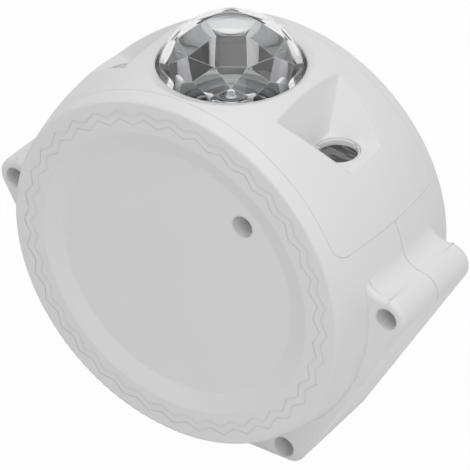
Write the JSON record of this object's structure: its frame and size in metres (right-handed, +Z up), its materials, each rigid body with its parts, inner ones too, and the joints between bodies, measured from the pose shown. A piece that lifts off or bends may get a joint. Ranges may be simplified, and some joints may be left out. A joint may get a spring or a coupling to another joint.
{
  "type": "star night-light projector",
  "caption": "Drum-shaped tabletop projector on a flat foot, with a clear faceted dome on top, recessed star windows beside it, a speaker grille and push buttons.",
  "frame": {"origin": "on the table, under the middle of the whole body", "axes": "+Z up, +X to the right seen from the front, -Y towards the front with the speaker and the buttons, +Y towards the rear disc"},
  "size_m": [0.1614, 0.0724, 0.1503],
  "materials": {
    "shell": "fine satin moulded",
    "clear_dome": "clear moulded acrylic, smooth outside, faceted inside",
    "black_plastic": "matte moulded",
    "gear_plastic": "natural acetal",
    "clear_optic": "clear polished",
    "motor_can": "drawn steel can",
    "lamp_board": "white coated aluminium board",
    "sink_metal": "extruded, plain",
    "steel": "zinc plated",
    "ring_plastic": "moulded",
    "dark_glass": "tinted, polished",
    "laser_brass": "turned",
    "green_board": "solder resist on glass laminate",
    "speaker_steel": "black pressed steel",
    "magnet_iron": "sintered ferrite",
    "cone_paper": "matte cone",
    "grille_plastic": "satin moulded",
    "button_plastic": "satin moulded",
    "socket_steel": "nickel plated",
    "foot_rubber": "soft pad",
    "lead_red": "soft sleeve",
    "lead_grey": "soft sleeve"
  },
  "bodies": {
    "case": {"rear_shell": "shell", "front_shell": "shell", "top_panel": "shell", "dome": "clear_dome", "dome_clamp": "black_plastic", "clamp_screws": "steel", "optic_frame": "black_plastic", "wheel_motor": "motor_can", "lamp_lens": "clear_optic", "lamp_board": "lamp_board", "heat_sink": "sink_metal", "heat_sink_screws": "steel", "left_window_ring": "ring_plastic", "right_window_ring": "ring_plastic", "left_window_lens": "dark_glass", "right_window_lens": "dark_glass", "left_star_motor": "motor_can", "right_star_motor": "motor_can", "left_laser": "laser_brass", "right_laser": "laser_brass", "main_board": "green_board", "board_screws": "steel", "speaker_frame": "speaker_steel", "speaker_magnet": "magnet_iron", "speaker_cone": "cone_paper", "speaker_grille": "grille_plastic", "speaker_screws": "steel", "button_board": "green_board", "button_board_screws": "steel", "power_socket": "socket_steel", "socket_board": "green_board", "case_screws": "steel", "left_rear_foot": "foot_rubber", "right_rear_foot": "foot_rubber", "left_front_foot": "foot_rubber", "right_front_foot": "foot_rubber", "lamp_lead": "lead_red", "wheel_motor_lead": "lead_grey", "left_star_lead": "lead_grey", "right_star_lead": "lead_grey", "speaker_lead": "lead_grey", "button_lead": "lead_grey", "socket_lead": "lead_red"},
    "ripple_drum": {"ripple_wheel": "gear_plastic", "ripple_plate": "clear_optic"},
    "wheel_pinion": {"wheel_pinion": "gear_plastic"},
    "left_star_drum": {"left_star_wheel": "gear_plastic", "left_star_plate": "clear_optic"},
    "right_star_drum": {"right_star_wheel": "gear_plastic", "right_star_plate": "clear_optic"},
    "left_star_pinion": {"left_star_pinion": "gear_plastic"},
    "right_star_pinion": {"right_star_pinion": "gear_plastic"},
    "power_button": {"power_button": "button_plastic"},
    "light_button": {"light_button": "button_plastic"},
    "star_button": {"star_button": "button_plastic"},
    "sound_button": {"sound_button": "button_plastic"}
  },
  "joints": [
    {"name": "ripple_spin", "type": "hinge", "parent": "case", "child": "ripple_drum", "pos_m": [0, 0.0013, 0.108], "axis": [0, 0, 1], "continuous": true},
    {"name": "wheel_pinion_spin", "type": "hinge", "parent": "case", "child": "wheel_pinion", "pos_m": [0, -0.0244, 0.108], "axis": [0, 0, 1], "continuous": true},
    {"name": "left_star_spin", "type": "hinge", "parent": "case", "child": "left_star_drum", "pos_m": [-0.0411, 0.0013, 0.108], "axis": [0, 0, 1], "continuous": true},
    {"name": "right_star_spin", "type": "hinge", "parent": "case", "child": "right_star_drum", "pos_m": [0.0411, 0.0013, 0.108], "axis": [0, 0, 1], "continuous": true},
    {"name": "left_star_pinion_spin", "type": "hinge", "parent": "case", "child": "left_star_pinion", "pos_m": [-0.03717, -0.00951, 0.108], "axis": [0, 0, 1], "continuous": true},
    {"name": "right_star_pinion_spin", "type": "hinge", "parent": "case", "child": "right_star_pinion", "pos_m": [0.03717, -0.00951, 0.108], "axis": [0, 0, 1], "continuous": true},
    {"name": "power_button_press", "type": "slide", "parent": "case", "child": "power_button", "axis": [0, 1, 0], "range_m": [0, 0.0008], "stiffness_N_per_m": 400},
    {"name": "light_button_press", "type": "slide", "parent": "case", "child": "light_button", "axis": [0, 1, 0], "range_m": [0, 0.0008], "stiffness_N_per_m": 400},
    {"name": "star_button_press", "type": "slide", "parent": "case", "child": "star_button", "axis": [0, 1, 0], "range_m": [0, 0.0008], "stiffness_N_per_m": 400},
    {"name": "sound_button_press", "type": "slide", "parent": "case", "child": "sound_button", "axis": [0, 1, 0], "range_m": [0, 0.0008], "stiffness_N_per_m": 400}
  ],
  "couplings": [
    {"joint": "wheel_pinion_spin", "follows": "ripple_spin", "ratio": -4.3333},
    {"joint": "left_star_pinion_spin", "follows": "left_star_spin", "ratio": -2.1667},
    {"joint": "right_star_pinion_spin", "follows": "right_star_spin", "ratio": -2.1667}
  ]
}
